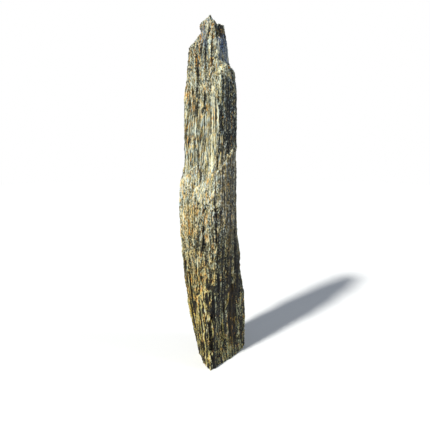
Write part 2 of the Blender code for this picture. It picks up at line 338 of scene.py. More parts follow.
# How the minerals lie, from the foot up. Each row is (height, share of the long bands and of the broad
# ribs in their pattern, its contrast, the level that it lies round, the pull of the iron, and the red,
# green and blue of the film of weather and painted light). On a broken side mica is at level 0.43 and
# feldspar at 0.60. The level and the film carry painted light and shade: both sides are painted lighter
# from about 380 to 520 mm, where the stone turns up to the light, the cleaved side is painted darker
# above that, where it lies in shade, the crown is painted bluish for sky light, and towards the foot
# both are painted browner, partly with rust and earth and partly with light thrown back from wood.
BROKEN_SIDE = (
    (0, 0.40, 0.50, 2.80, 0.461, 0.025, 0.61, 0.51, 0.235),
    (130, 0.42, 0.50, 2.80, 0.462, 0.025, 0.59, 0.49, 0.235),
    (240, 0.40, 0.35, 1.80, 0.483, 0.018, 0.78, 0.68, 0.47),
    (340, 0.36, 0.15, 1.05, 0.498, 0.010, 1.00, 0.94, 0.90),
    (430, 0.26, 0.00, 0.72, 0.520, 0.002, 1.05, 1.04, 1.12),
    (480, 0.45, 0.00, 0.80, 0.516, 0.000, 1.05, 1.04, 1.12),
    (530, 0.80, 0.10, 1.05, 0.506, 0.005, 0.98, 0.95, 0.96),
    (610, 0.78, 0.10, 1.10, 0.502, 0.010, 0.97, 0.94, 0.94),
    (660, 0.36, 0.00, 0.98, 0.502, 0.010, 0.98, 0.95, 0.96),
    (740, 0.08, 0.00, 0.78, 0.503, 0.010, 0.96, 0.96, 1.02),
    (832, 0.08, 0.00, 0.76, 0.507, 0.010, 0.95, 0.97, 1.06),
)
CLEAVED_SIDE = (
    (0, 0.58, 0.20, 3.60, 0.472, -0.01, 0.55, 0.50, 0.33),
    (130, 0.54, 0.20, 3.10, 0.480, -0.02, 0.60, 0.55, 0.39),
    (260, 0.38, 0.20, 1.70, 0.494, -0.06, 0.72, 0.67, 0.56),
    (330, 0.36, 0.10, 0.90, 0.507, -0.08, 0.98, 0.93, 0.86),
    (380, 0.36, 0.00, 0.55, 0.524, -0.10, 1.26, 1.14, 1.20),
    (520, 0.36, 0.00, 0.55, 0.525, -0.10, 1.26, 1.15, 1.22),
    (570, 0.30, 0.00, 1.15, 0.494, -0.10, 0.90, 0.90, 0.98),
    (690, 0.30, 0.00, 1.15, 0.494, -0.10, 0.87, 0.88, 0.97),
    (740, 0.50, 0.00, 1.15, 0.494, -0.10, 0.85, 0.87, 0.97),
    (832, 0.50, 0.00, 1.15, 0.494, -0.10, 0.85, 0.87, 0.97),
)
# Patches with a look of their own, as strokes like those above and then (how even they are, what they
# add to the level, and the red, green and blue of their film). The warm and brown ones are earthy
# stains. The others are painted light and shade: the lighter ones lift shadows that the relief casts
# and light up ledges, and the darker ones paint shade in recesses, in grooves, beside the arris and at
# the foot, bluish in the crown.
EARTH_AND_PAINTED_LIGHT = (
    ((48, 195), (49, 45), 8.0, 1.0, 0.8, 0.002, (1.25, 0.86, 0.28)),
    ((62, 320), (62, 180), 12.0, 1.0, 0.4, -0.004, (0.90, 0.90, 1.0)),
    ((38, 372), (40, 190), 5.0, 1.0, 0.4, 0.006, (1.10, 0.95, 0.80)),
    ((6, 320), (6, 185), 3.5, 1.0, 0.0, 0.020, (1.30, 1.30, 1.25)),
    ((-18, 320), (-16, 190), 7.0, 1.0, 0.0, -0.012, (0.85, 0.87, 0.90)),
    # Painted shade of the recess at the foot between the ridges.
    ((2, 215), (-2, 55), 9.0, 1.0, 0.0, -0.030, (0.80, 0.85, 0.95)),
    ((-58, 405), (-60, 350), 14.0, 1.0, 0.2, -0.002, (1.15, 1.0, 0.78)),
    ((-6, 405), (-5, 330), 6.0, 1.0, 0.0, -0.014, (0.90, 0.93, 1.0)),
    ((12, 500), (14, 350), 4.0, 1.0, 0.0, -0.006, (0.92, 0.92, 0.92)),
    ((34, 525), (34, 410), 4.0, 1.0, 0.2, 0.015, (1.40, 1.36, 1.32)),
    # Painted light over the shadow line of a relief step.
    ((-1, 535), (0, 445), 4.5, 1.0, 0.0, 0.025, (1.15, 1.15, 1.12)),
    ((0, 572), (-1, 512), 7.0, 1.0, 0.0, 0.018, (1.14, 1.14, 1.12)),
    ((-42, 470), (-28, 440), 11.0, 1.0, 0.0, 0.012, (1.06, 1.06, 1.06)),
    ((-52, 565), (-40, 480), 9.0, 1.0, 0.0, 0.010, (1.12, 1.12, 1.12)),
    ((-76, 392), (-73, 335), 6.0, 1.0, 0.0, 0.010, (1.12, 1.12, 1.12)),
    # Painted light over a shadowed hollow at the left edge.
    ((-67, 250), (-62, 165), 4.0, 1.0, 0.0, 0.040, (1.30, 1.30, 1.30)),
    ((-58, 160), (-52, 110), 4.0, 1.0, 0.0, 0.035, (1.25, 1.25, 1.25)),
    ((-20, 215), (-14, 165), 4.0, 1.0, 0.0, 0.025, (1.20, 1.20, 1.20)),
    # Painted shade in grooves and beside the arris.
    ((41, 285), (42, 205), 2.5, 1.0, 0.0, -0.030, (0.80, 0.80, 0.85)),
    ((16, 290), (16, 236), 3.5, 1.0, 0.0, -0.030, (0.72, 0.72, 0.74)),
    ((-14, 192), (-14, 147), 3.0, 1.0, 0.0, -0.025, (0.78, 0.78, 0.80)),
    ((-13, 607), (-13, 568), 3.0, 1.0, 0.0, -0.025, (0.80, 0.80, 0.82)),
    ((-7, 776), (-7, 735), 3.5, 1.0, 0.0, 0.035, (1.30, 1.30, 1.30)),
    ((-42, 738), (-41, 685), 3.0, 1.0, 0.0, 0.030, (1.20, 1.20, 1.20)),
    # Painted light on the shoulder below the bluish face, where it catches the light.
    ((13, 720), (13, 635), 3.5, 1.0, 0.0, 0.015, (1.50, 1.50, 1.45)),
    ((16, 726), (30, 706), 7.0, 1.0, 0.0, 0.010, (1.35, 1.35, 1.35)),
    # Painted light over a shadowed hole.
    ((-23, 634), (-25, 618), 3.0, 1.0, 0.0, 0.030, (1.25, 1.25, 1.25)),
    ((-10, 820), (-17, 790), 3.5, 1.0, 0.0, 0.020, (1.05, 1.05, 1.12)),
    # Bluish painted shade in the crown, where sky light fills it.
    ((-25, 806), (-24, 775), 6.0, 1.0, 0.4, -0.010, (0.86, 0.93, 1.08)),
    ((-22, 768), (-17, 748), 5.0, 1.0, 0.0, -0.012, (0.85, 0.90, 1.0)),
    ((4, 806), (7, 778), 3.5, 1.0, 0.2, -0.020, (0.85, 0.90, 1.02)),
    ((15, 800), (15, 786), 6.0, 1.0, 0.0, -0.020, (0.90, 0.80, 0.60)),
)
# What a rod that stands out adds to the level, as a share of the contrast, what veins add to it and what
# the painted shade of the hollows takes from it. Then the iron's pull in a stain, and how many times a
# slaty face has its side's contrast.
STAND_SHARE = 0.10
VEIN_LEVEL = 0.08
# Painted shade: how much darker the hollows are made.
HOLLOW_PAINTED_SHADE = -0.03
STAIN_PULL = 0.15
SLATE_CONTRAST = 1.4

# The minerals' colours over the level, as (level, mineral, how bright), for each kind of surface.
BROKEN_COLOURS = (
    (0.43, "biotite", 0.7),
    (0.47, "epidote", 0.4),
    (0.50, "epidote", 1.0),
    (0.54, "feldspar", 0.7),
    (0.60, "feldspar", 1.0),
)
CLEAVED_COLOURS = (
    (0.46, "biotite", 0.25),
    (0.49, "biotite", 1.9),
    (0.53, "epidote", 0.42),
    (0.62, "feldspar", 0.85),
)
STAINED_COLOURS = (
    (0.43, "rust", 0.15),
    (0.47, "rust", 1.0),
    (0.52, "ochre", 1.0),
    (0.57, "ochre", 1.35),
    (0.66, "feldspar", 1.0),
)
# A painted reflection of the sky, bluish, on the bare mica faces.
SLATE_SKY_SHEEN_COLOURS = (
    (0.44, "biotite", 1.0),
    (0.50, "painted_sky_blue", 1.0),
    (0.62, "quartz", 0.7),
)
# What the grains' own tints do to red, green and blue, from cool to warm.
TINTS = (
    (0.36, (0.84, 1.0, 1.30)),
    (0.50, (1.0, 1.0, 1.0)),
    (0.64, (1.20, 1.0, 0.62)),
)
# The iron shows from the first of these sums of its noise and its pull, and covers this share from the
# second.
RUST_RANGE = (0.59, 0.66)
RUST_COVER = 0.85
# Only grains above these levels of a vein are bare quartz.
QUARTZ_RANGE = (0.55, 0.65)
# Mica is smoother than feldspar: the roughness over this range of levels.
SHEEN_RANGE = (0.4, 0.6)
SHEEN_ROUGHNESS = (0.5, 0.82)
# Weathered mica and feldspar shine less than a clean cut would.
SPECULAR_LEVEL = 0.3
# The finest grit is in the shading alone, this deep.
GRIT_DEPTH = 1.8

# The camera stands in front of the stone. Its picture is 430 pixels wide, and its focal length and the
# height of the horizon above the middle are in those pixels.
CAMERA_PLACE = (0.0022, -0.7637, 0.532)
PICTURE_WIDTH = 430
FOCAL_LENGTH = 310
HORIZON_HEIGHT = 60
CAMERA_DROP = math.atan(HORIZON_HEIGHT / FOCAL_LENGTH)
SENSOR_WIDTH = 36.0
CAMERA_LENS = SENSOR_WIDTH * FOCAL_LENGTH / PICTURE_WIDTH
CAMERA_NEAR = 0.01
# The key light comes from the left front and above, the side light from the right.
KEY_DIRECTION = Vector((-0.62, -0.55, 0.80)).normalized()
KEY_ANGLE = math.radians(5)
KEY_COLOUR = (1.0, 0.975, 0.90)
SIDE_DIRECTION = Vector((0.93, -0.20, 0.35)).normalized()
SIDE_ANGLE = math.radians(20)
SIDE_COLOUR = (0.80, 0.90, 1.0)
LAMP_DISTANCE = 2.2
ROOM_COLOUR = (0.86, 0.92, 1.0, 1.0)
PAPER_WHITE = (1.0, 1.0, 1.0, 1.0)
FLOOR_SIDES = 96
FLOOR_ROUGHNESS = 0.9


def srgb(code):
    """The linear colour of an sRGB hex code."""
    parts = [int(code[i:i + 2], 16) / 255 for i in (1, 3, 5)]
    return [p / 12.92 if p <= 0.04045 else ((p + 0.055) / 1.055) ** 2.4 for p in parts]


class StoneSettings(bpy.types.PropertyGroup):
    """Sizes and colours of the stone."""

    cell: bpy.props.FloatProperty(
        name="Cell", description="Width of the surface's cells", default=CELL * MM,
        unit="LENGTH", precision=5
    )
    relief: bpy.props.FloatProperty(
        name="Relief", description="Strength of the fine relief", default=1.0,
        subtype="FACTOR", min=0.0, max=2.0
    )
    feldspar: bpy.props.FloatVectorProperty(
        name="Feldspar", description="Pale bands", subtype="COLOR", default=srgb("#E4E5C6")
    )
    quartz: bpy.props.FloatVectorProperty(
        name="Quartz", description="Cream white veins", subtype="COLOR", default=srgb("#E8E6C8")
    )
    epidote: bpy.props.FloatVectorProperty(
        name="Epidote", description="Grey-green middle bands", subtype="COLOR", default=srgb("#8A8D70")
    )
    biotite: bpy.props.FloatVectorProperty(
        name="Biotite", description="Dark mica bands", subtype="COLOR", default=srgb("#232322")
    )
    # A painted reflection of the sky on the bare mica faces.
    painted_sky_blue: bpy.props.FloatVectorProperty(
        name="Slate blue", description="Sheen of mica faces", subtype="COLOR", default=srgb("#607598")
    )
    ochre: bpy.props.FloatVectorProperty(
        name="Ochre", description="Iron stain on pale bands", subtype="COLOR", default=srgb("#C49445")
    )
    rust: bpy.props.FloatVectorProperty(
        name="Rust", description="Deep iron stain", subtype="COLOR", default=srgb("#86632E")
    )


class StageSettings(bpy.types.PropertyGroup):
    """The floor, the lights and the camera."""

    floor_size: bpy.props.FloatProperty(
        name="Floor", description="Diameter of the floor", default=12.0, unit="LENGTH"
    )
    floor_colour: bpy.props.FloatVectorProperty(
        name="Floor colour", description="Pale floor", subtype="COLOR", default=srgb("#F6F8FC")
    )
    key_strength: bpy.props.FloatProperty(
        name="Key", description="Strength of the main light", default=4.0
    )
    side_strength: bpy.props.FloatProperty(
        name="Side", description="Strength of the soft light from the right", default=0.7
    )
    fill: bpy.props.FloatProperty(
        name="Fill", description="Brightness of the light from all round", default=0.24
    )


def smooth_step(low, high, value):
    """A soft step from 0 at low to 1 at high, which may also be the lower of the two."""
    share = min(1.0, max(0.0, (value - low) / (high - low)))
    return share * share * (3 - 2 * share)


def chance(first, second, seed):
    """A number from 0 to 1 that is always the same for the same two whole numbers and seed."""
    return 0.5 + 0.5 * noise.cell(Vector((first, second, seed)))


def waver(x, y, z):
    """Smooth noise, mostly between -0.5 and 0.5, that changes over a distance of about 1."""
    return noise.noise(Vector((x, y, z)))


class Grain:
    """Where the sheets lie: they lean in and out with the stone's sides."""

    def __init__(self, points):
        levels = np.arange(0, STONE_HEIGHT / MM + GRAIN_STEP, GRAIN_STEP)
        rows = []
        for level in levels:
            near = points[np.abs(points[:, 2] - level) < 2 * GRAIN_STEP]
            low, high = near[:, :2].min(axis=0), near[:, :2].max(axis=0)
            rows.append(np.concatenate([(low + high) / 2, (high - low) / 2]))
        rows = np.array(rows)
        padded = np.pad(rows, ((GRAIN_EVENING, GRAIN_EVENING), (0, 0)), mode="edge")
        width = 2 * GRAIN_EVENING + 1
        even = np.array([padded[i:i + width].mean(axis=0) for i in range(len(rows))])
        self.levels = levels
        self.rows = even
        self.usual = even[levels < CROWN_START, 2:].mean(axis=0)

    @functools.lru_cache(maxsize=None)
    def section(self, height):
        """The middle and the half size of the section at a height in whole millimetres."""
        level = min(max(height, 0), CROWN_START)
        return tuple(np.interp(level, self.levels, self.rows[:, i]) for i in range(4))

    def place(self, point):
        """A point in the stone's grain: across the sheets, along them and up, in millimetres."""
        middle_x, middle_y, half_x, half_y = self.section(round(point.z))
        x = (point.x - middle_x) / half_x * self.usual[0]
        y = (point.y - middle_y) / half_y * self.usual[1]
        across = x * SHEET_NORMAL.x + y * SHEET_NORMAL.y
        run = x * SHEET_RUN.x + y * SHEET_RUN.y
        fine, near, far, tall = FINE_SWAY
        sway, width, height = SWAY_ACROSS
        broad = sway * waver(across / width, run / width, point.z / height)
        across += broad + fine * waver(across / near, run / far, point.z / tall)
        sway, width, height = SWAY_ALONG
        broad = sway * waver(run / width, SWAY_SEED, point.z / height)
        run += broad + fine * waver(run / near, across / far, point.z / tall)
        return Vector((across, run, point.z))


def rod(across, height, width, length, seed):
    """How far rods stand out side by side, from -1 to 1, and how deep their gap is, from 0 to 1."""
    wander, widths, lengths = ROD_WANDER
    across += wander * width * waver(across / (widths * width), height / (lengths * length), seed)
    jag, jag_width, jag_height = BREAK_JAG
    line = height - BREAK_SLOPE * across + jag * waver(across / jag_width, height / jag_height, seed)
    number = math.floor(across / width)
    least, added = BREAK_FALL
    levels = []
    for rod_number in (number, number + 1):
        place = line / length + BREAK_SHIFT * chance(rod_number, 0, seed)
        step = math.floor(place)
        fall = least + added * chance(rod_number, step, seed + FALL_SEED) ** 2
        lower, upper = (chance(rod_number, step + up, seed + LEVEL_SEED) for up in (-1, 0))
        levels.append(lower + (upper - lower) * smooth_step(0, fall, place - step))
    share = across / width - number
    stand = 2 * (levels[0] + (levels[1] - levels[0]) * smooth_step(*ROD_GROOVE, share)) - 1
    gap_number = math.floor(line / length * GAP_BREAKS)
    opened = smooth_step(*GAP_CHANCE, chance(number, gap_number, seed + GAP_SEED))
    return stand, opened * smooth_step(*GAP_EDGES, abs(share - 0.5))


def rods(sizes, across, height, seed):
    """The relief of several sizes of rods, in millimetres, and its share of the most that they give."""
    total, most = 0.0, 0.0
    for width, length, depth, gap_depth in sizes:
        stand, gap = rod(across, height, width, length, seed + width)
        total += depth / 2 * stand - gap_depth * gap
        most += depth / 2
    return total, total / most


def fine_relief(grain_place, normal, point):
    """How far the surface stands out, in millimetres and in its own range, and its share of cleavage."""
    flat = Vector((normal.x, normal.y))
    facing = abs(flat.dot(SHEET_NORMAL.xy)) / max(flat.length, TINY)
    cleavage = smooth_step(*CLEAVED_FACING, facing)
    across, run, height = grain_place
    broken, broken_share = rods(SPLINTERS, across, height, SPLINTER_SEED) if cleavage < 1 else (0, 0)
    split, split_share = rods(FLUTES, run, height, FLUTE_SEED) if cleavage > 0 else (0, 0)
    offset = broken + (split - broken) * cleavage
    share = broken_share + (split_share - broken_share) * cleavage
    crumb = sum(depth * waver(*(point / size)) for size, depth in CRUMB_SIZES)
    ledge = smooth_step(*LEDGE_FACING, abs(normal.z))
    hackly = smooth_step(HACKLY_START, HACKLY_FULL, point.z)
    rugged = 1 + (RUGGED_TIMES - 1) * smooth_step(RUGGED_START, RUGGED_FULL, point.z)
    offset = rugged * offset * (1 - LEDGE_LOSS * ledge) * (1 - HACKLY_LOSS * hackly)
    offset += crumb * (CRUMBS_UPRIGHT + CRUMBS_ON_LEDGES * ledge + CRUMBS_IN_CROWN * hackly)
    return offset, share * (1 - ledge) + ledge * LEDGE_STAND, cleavage * (1 - ledge)


def stroke_shares(strokes, places):
    """How strongly each of the places, given as X and height, is marked by the strokes."""
    marked = np.zeros(len(places))
    for start, end, half_width, strength in strokes:
        start, run = np.array(start, float), np.subtract(end, start).astype(float)
        share = np.clip((places - start) @ run / max(run @ run, TINY), 0, 1)
        away = np.linalg.norm(places - start - share[:, None] * run, axis=1) / half_width
        marked = np.maximum(marked, strength * np.clip(STROKE_REACH - away, 0, 1))
    return marked


def remeshed(mesh, cell):
    """The stone on fine, even cells taller than wide, which line up with its sheets."""
    stretch = Matrix.Diagonal((1, 1, CELL_STRETCH, 1))
    there = stretch.inverted() @ SHEET_TURN
    mesh.transform(there)
    draft = bpy.data.objects.new("draft", mesh)
    bpy.context.scene.collection.objects.link(draft)
    cells = draft.modifiers.new("cells", "REMESH")
    cells.mode = "VOXEL"
    cells.voxel_size = cell
    depsgraph = bpy.context.evaluated_depsgraph_get()
    fine = bpy.data.meshes.new_from_object(draft.evaluated_get(depsgraph), depsgraph=depsgraph)
    bpy.data.objects.remove(draft)
    fine.transform(there.inverted())
    return fine


def rough_surface(settings):
    """The column's own mesh, run on below its foot and put on fine cells."""
    mesh = bmesh.new()
    mesh.from_mesh(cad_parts[NODE].data)
    bmesh.ops.remove_doubles(mesh, verts=mesh.verts, dist=WELD_REACH * MM)
    low = [face for face in mesh.faces if face.calc_center_median().z < FOOT_REACH * MM]
    foot = [face for face in low if face.normal.z < FOOT_FACING]
    grown = bmesh.ops.extrude_face_region(mesh, geom=foot)["geom"]
    lower = [part for part in grown if isinstance(part, bmesh.types.BMVert)]
    bmesh.ops.translate(mesh, verts=lower, vec=(0, 0, -FOOT_OVERLAP * MM))
    bmesh.ops.delete(mesh, geom=foot, context="FACES")
    data = bpy.data.meshes.new("rough")
    mesh.to_mesh(data)
    mesh.free()
    fine = remeshed(data, settings.cell)
    bpy.data.meshes.remove(data)
    surface = bmesh.new()
    surface.from_mesh(fine)
    bpy.data.meshes.remove(fine)
    return surface


def keep_inside(surface):
    """Moves points that stand out of the column's box back to it. Those below are sawn off later."""
    for vertex in surface.verts:
        x, y, z = vertex.co
        x = min(max(x, STONE_LOW.x), STONE_HIGH.x)
        y = min(max(y, STONE_LOW.y), STONE_HIGH.y)
        vertex.co = (x, y, min(z, STONE_HIGH.z))


def marks_at(points, normals):
    """Each point's share in every mark, its ragged place on the front and its share of the front."""
    sideways, width, height = RAGGED_SIDEWAYS
    upwards, size = RAGGED_UPWARDS
    ragged = np.array([
        (sideways * waver(p.x / width, p.y / width, p.z / height), upwards * waver(*(p / size)))
        for p in points
    ])
    spots = np.array([(point.x, point.z) for point in points]) + ragged
    front = np.clip(0.5 - np.array([normal.y for normal in normals]) / MARK_REACH, 0, 1)
    marks = {name: front * stroke_shares(strokes, spots) for name, strokes in MARKS.items()}
    usual, swing, width, height = CHIPPED
    chips = np.array([usual + swing * waver(p.x / width, p.y / width, p.z / height) for p in points])
    chips = chips.clip(*HOLLOW_STRENGTHS)
    marks["shaded_hollow"] *= chips
    marks["vein"] *= chips.clip(*VEIN_STRENGTHS)
    return marks, spots, front


def side_values(rows, heights):
    """The values of a side's table at the heights, a row for each height."""
    columns = np.array(rows).T
    return np.stack([np.interp(heights, columns[0], values) for values in columns[1:]], axis=1)


def minerals_and_painted_light(heights, split, stand, marks, spots, front):
    """How the minerals and the painted light and shade lie at each point: their pattern, the ribs' share,
    the iron's pull, the tint of weather and light.
    """
    broken, cleaved = side_values(BROKEN_SIDE, heights), side_values(CLEAVED_SIDE, heights)
    side_rows = broken + (cleaved - broken) * split[:, None]
    bands, ribs, contrast, level, pull = side_rows[:, :5].T
    # The tint of weather and of painted light and shade.
    weather_and_light = side_rows[:, 5:]
    contrast = contrast * (1 + (SLATE_CONTRAST - 1) * marks["slate_sky_sheen"])
    # The hollows' painted shade lowers the level here.
    level = level + VEIN_LEVEL * marks["vein"] + HOLLOW_PAINTED_SHADE * marks["shaded_hollow"]
    # The patches' painted light and shade go into the level and the film.
    for *stroke, evening, shift, tint in EARTH_AND_PAINTED_LIGHT:
        patch = front * np.minimum(stroke_shares([stroke], spots), 1)
        contrast = contrast * (1 - evening * patch)
        level = level + shift * patch
        weather_and_light = weather_and_light * (1 + patch[:, None] * (np.array(tint) - 1))
    level = level + contrast * STAND_SHARE / 2 * stand
    pull = pull + (STAIN_PULL - pull) * np.minimum(marks["stain"], 1)
    return np.stack((bands, contrast, level), axis=1), ribs, pull, np.insert(weather_and_light, 3, 1, axis=1)


def sculpt(surface, strength):
    """Moves every point of the surface by its fine relief and stores what the material follows."""
    bmesh.ops.smooth_vert(
        surface, verts=surface.verts, factor=SOFTENING, use_axis_x=True, use_axis_y=True, use_axis_z=True
    )
    surface.normal_update()
    points = [vertex.co / MM for vertex in surface.verts]
    normals = [vertex.normal.copy() for vertex in surface.verts]
    grain = Grain(np.array(points))
    places = [grain.place(point) for point in points]
    relief, stand, split = np.array([fine_relief(*values) for values in zip(places, normals, points)]).T
    marks, spots, front = marks_at(points, normals)
    relief *= 1 - CRUMBLED_LOSS * marks["crumbled"] * split
    split = split * (1 - marks["crumbled"])
    split = split + (1 - split) * marks["skin"]
    heights = np.array([point.z for point in points])
    pattern, ribs, pull, weather_and_light = minerals_and_painted_light(heights, split, stand, marks, spots, front)
    relief *= strength * (1 - SLATE_LOSS * np.minimum(marks["slate_sky_sheen"], 1))
    relief += VEIN_HEIGHT * marks["vein"] - HOLLOW_DEPTH * marks["shaded_hollow"]
    families = surface.verts.layers
    layers = {
        "grain": (families.float_vector, np.array(places) * MM),
        "pattern": (families.float_vector, pattern),
        "weather_and_light": (families.float_color, weather_and_light),
        "split": (families.float, split),
        "vein": (families.float, marks["vein"]),
        "slate_sky_sheen": (families.float, marks["slate_sky_sheen"]),
        "pull": (families.float, pull),
        "ribs": (families.float, ribs),
    }
    for name, (family, _) in layers.items():
        family.new(name)
    for name, (family, values) in layers.items():
        handle = family[name]
        for vertex, value in zip(surface.verts, values):
            vertex[handle] = value
    for vertex, normal, height in zip(surface.verts, normals, relief):
        vertex.co += normal * height * MM
    keep_inside(surface)


def thinned(surface, triangles):
    """The same surface with only as many triangles, most of them where it is rough."""
    data = bpy.data.meshes.new("draft")
    surface.to_mesh(data)
    count = sum(len(face.verts) - 2 for face in surface.faces)
    surface.free()
    draft = bpy.data.objects.new("draft", data)
    bpy.context.scene.collection.objects.link(draft)
    thin = draft.modifiers.new("thin", "DECIMATE")
    thin.ratio = min(1.0, triangles / count)
    depsgraph = bpy.context.evaluated_depsgraph_get()
    surface = bmesh.new()
    surface.from_object(draft, depsgraph)
    bpy.data.objects.remove(draft)
    bpy.data.meshes.remove(data)
    return surface


def drop_crumbs(surface):
    """Deletes loose bits that the cells have cut off from the stone."""
    left = set(surface.verts)
    lumps = []
    while left:
        lump, edge = set(), {left.pop()}
        while edge:
            lump |= edge
            edge = {link.other_vert(v) for v in edge for link in v.link_edges} - lump
        left -= lump
        lumps.append(lump)
    lumps.sort(key=len)
    loose = [vertex for lump in lumps[:-1] for vertex in lump]
    bmesh.ops.delete(surface, geom=loose, context="VERTS")


def saw_foot(surface):
    """Cuts the stone flat at its foot and closes the cut."""
    parts = list(surface.verts) + list(surface.edges) + list(surface.faces)
    bmesh.ops.bisect_plane(
        surface, geom=parts, dist=SAW_REACH * MM, plane_co=(0, 0, STONE_LOW.z), plane_no=(0, 0, 1),
        clear_inner=True,
    )
    rim = [edge for edge in surface.edges if edge.is_boundary]
    bmesh.ops.holes_fill(surface, edges=rim, sides=0)
    bmesh.ops.recalc_face_normals(surface, faces=surface.faces)


def socket(group, name):
    """The input or output of that name or identifier. A Mix node has several that share a name."""
    return next(entry for entry in group if name in (entry.identifier, entry.name))


def add_node(tree, kind, output, inputs=None, stops=(), **settings):
    """Adds a node with its settings, a value or a link for each named input and a ramp's stops."""
    node = tree.nodes.new(kind)
    for name, value in settings.items():
        setattr(node, name, value)
    for name, value in (inputs or {}).items():
        taker = socket(node.inputs, name)
        if isinstance(value, bpy.types.NodeSocket):
            tree.links.new(value, taker)
        else:
            taker.default_value = (*value, 1) if isinstance(value, Color) else value
    for number, (position, colour) in enumerate(stops):
        elements = node.color_ramp.elements
        element = elements[number] if number < 2 else elements.new(position)
        element.position = position
        element.color = (*colour, 1)
    return socket(node.outputs, output)


